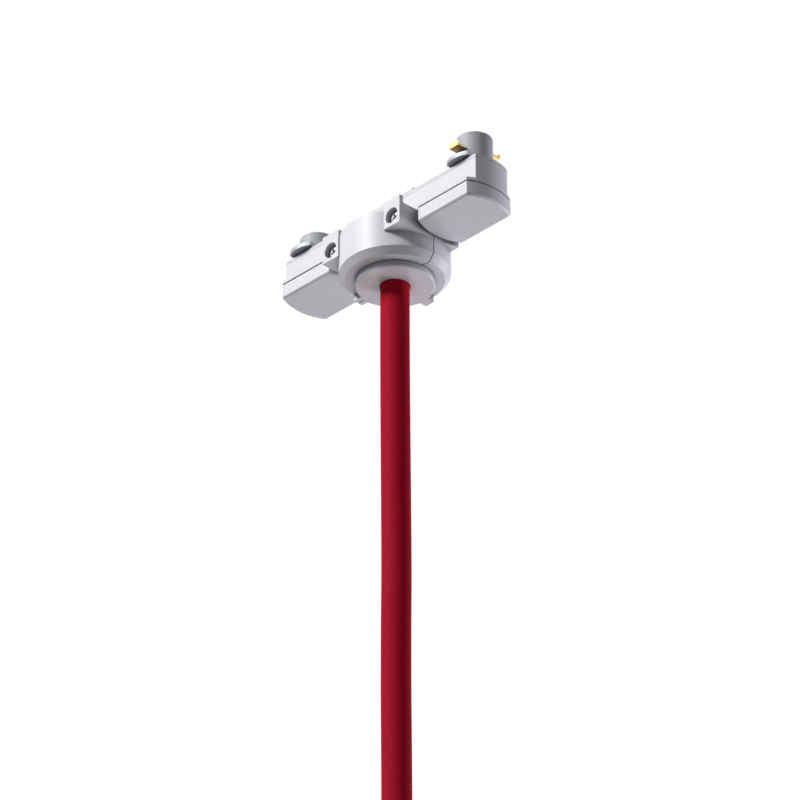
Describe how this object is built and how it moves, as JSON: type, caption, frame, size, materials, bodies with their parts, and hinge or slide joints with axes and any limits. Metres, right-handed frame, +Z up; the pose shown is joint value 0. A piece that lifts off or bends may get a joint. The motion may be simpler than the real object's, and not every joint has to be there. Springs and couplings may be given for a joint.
{
  "type": "track light adapter",
  "caption": "Long track adapter with turning locking levers at its ends, a round split clamp collar in the middle and a thick braided pendant cord held by a lugged cap.",
  "frame": {"origin": "on the collar's axis, in the plane of the rail's face, at the tops of the ear lips", "axes": "+X along the rail, -Y the front with the screw heads, +Z up into the rail; the cord hangs along -Z"},
  "size_m": [0.1326, 0.052, 0.362],
  "materials": {
    "white_housing": "white moulded polycarbonate, fine satin",
    "white_cover": "white moulded polycarbonate, satin",
    "grey_insulator": "grey moulded insulator, satin",
    "contact_brass": "rolled brass, bright",
    "cast_zinc": "bare die-cast zinc, dull",
    "zinc_screw": "zinc-plated steel",
    "red_braid": "red braided textile cover",
    "brown_lead": "brown insulation",
    "blue_lead": "blue insulation",
    "earth_lead": "green and yellow insulation"
  },
  "bodies": {
    "adapter": {"body_shell": "white_housing", "body_cover": "white_cover", "cover_screws": "zinc_screw", "earth_contacts": "contact_brass", "terminal_block": "grey_insulator", "terminal_screws": "zinc_screw", "line_strip": "contact_brass", "neutral_strip": "contact_brass", "line_lead": "brown_lead", "neutral_lead": "blue_lead", "earth_lead": "earth_lead", "lever_washers": "zinc_screw", "collar_front": "white_housing", "collar_rear": "white_housing", "collar_screws": "zinc_screw", "collar_nuts": "zinc_screw", "cord_grip": "grey_insulator", "cord": "red_braid", "end_sleeve": "white_housing", "end_nipple": "contact_brass", "end_screw": "zinc_screw"},
    "cap": {"cord_cap": "white_housing"},
    "left_lever": {"lever_left": "white_housing", "rotor_left": "grey_insulator", "lock_cam_left": "cast_zinc", "rotor_screw_left": "zinc_screw"},
    "right_lever": {"lever_right": "white_housing", "rotor_right": "grey_insulator", "lock_cam_right": "cast_zinc", "line_contact": "contact_brass", "neutral_contact": "contact_brass", "rotor_screw_right": "zinc_screw"}
  },
  "joints": [
    {"name": "left_lever_turn", "type": "hinge", "parent": "adapter", "child": "left_lever", "pos_m": [-0.0535, 0, 0], "axis": [0, 0, 1], "range_deg": [-90, 0]},
    {"name": "right_lever_turn", "type": "hinge", "parent": "adapter", "child": "right_lever", "pos_m": [0.0535, 0, 0], "axis": [0, 0, 1], "range_deg": [0, 90]},
    {"name": "cap_turn", "type": "hinge", "parent": "adapter", "child": "cap", "pos_m": [0, 0, -0.0294], "axis": [0, 0, 1], "range_deg": [0, 60]}
  ]
}
